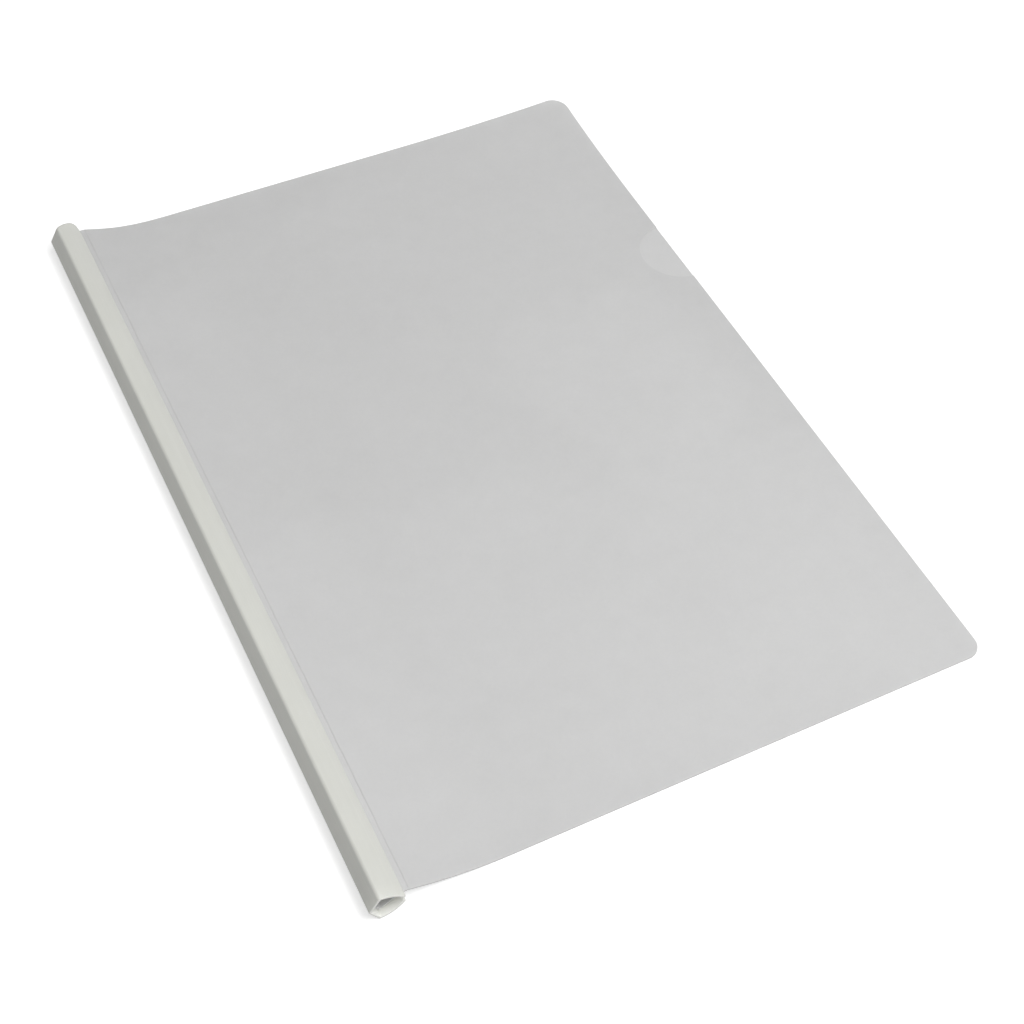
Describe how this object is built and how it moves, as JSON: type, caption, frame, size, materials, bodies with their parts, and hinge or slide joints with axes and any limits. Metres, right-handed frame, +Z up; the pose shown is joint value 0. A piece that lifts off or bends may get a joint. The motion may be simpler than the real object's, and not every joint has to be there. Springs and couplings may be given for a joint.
{
  "type": "clip folder with slide-on spine bar",
  "caption": "A4 report folder: frosted front and back covers folded from one plastic sheet, gripped along the spine by a slide-on bar.",
  "frame": {"origin": "centre of the folder's base on the table", "axes": "+X from the spine bar to the open edge, +Y along the spine bar to its nose end, +Z up from the table"},
  "size_m": [0.2194, 0.31, 0.0124],
  "materials": {
    "bar_plastic": "satin white extruded plastic, slightly warm",
    "frosted_sheet": "frosted translucent polypropylene sheet, pale grey, fine matte texture"
  },
  "bodies": {
    "covers": {"back_cover": "frosted_sheet"},
    "front_cover": {"front_cover": "frosted_sheet"},
    "spine_bar": {"spine_bar": "bar_plastic"}
  },
  "joints": [
    {"name": "front_cover_hinge", "type": "hinge", "parent": "covers", "child": "front_cover", "pos_m": [-0.09615, 0, 0.00665], "axis": [0, -1, 0], "range_deg": [0, 145]},
    {"name": "spine_bar_slide", "type": "slide", "parent": "covers", "child": "spine_bar", "axis": [0, -1, 0], "range_m": [0, 0.308]}
  ]
}
